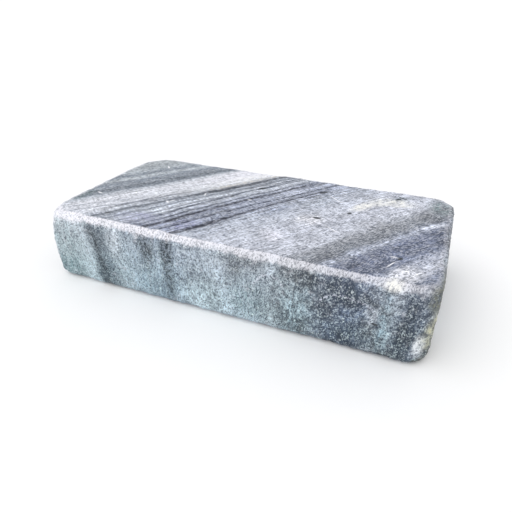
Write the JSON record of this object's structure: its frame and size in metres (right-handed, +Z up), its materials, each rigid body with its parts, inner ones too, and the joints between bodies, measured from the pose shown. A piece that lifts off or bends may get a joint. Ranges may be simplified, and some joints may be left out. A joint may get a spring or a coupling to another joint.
{
  "type": "marble paving block",
  "caption": "Tumbled rectangular paving block of banded marble with worn edges and a flat sawn underside, laid in a path, patio or kerb.",
  "frame": {"origin": "middle of the flat underside, below the middle of the block's box", "axes": "+X along the block's length, +Y across its width away from the banded side that faces the viewer, +Z up through its thickness"},
  "size_m": [0.2, 0.1, 0.04],
  "materials": {
    "marble": "banded grey, white and blue-grey marble with a sugary grain, sawn and tumbled to a dull surface, paler where the arrises are bruised"
  },
  "bodies": {
    "root": {"paving_block": "marble"}
  },
  "joints": []
}
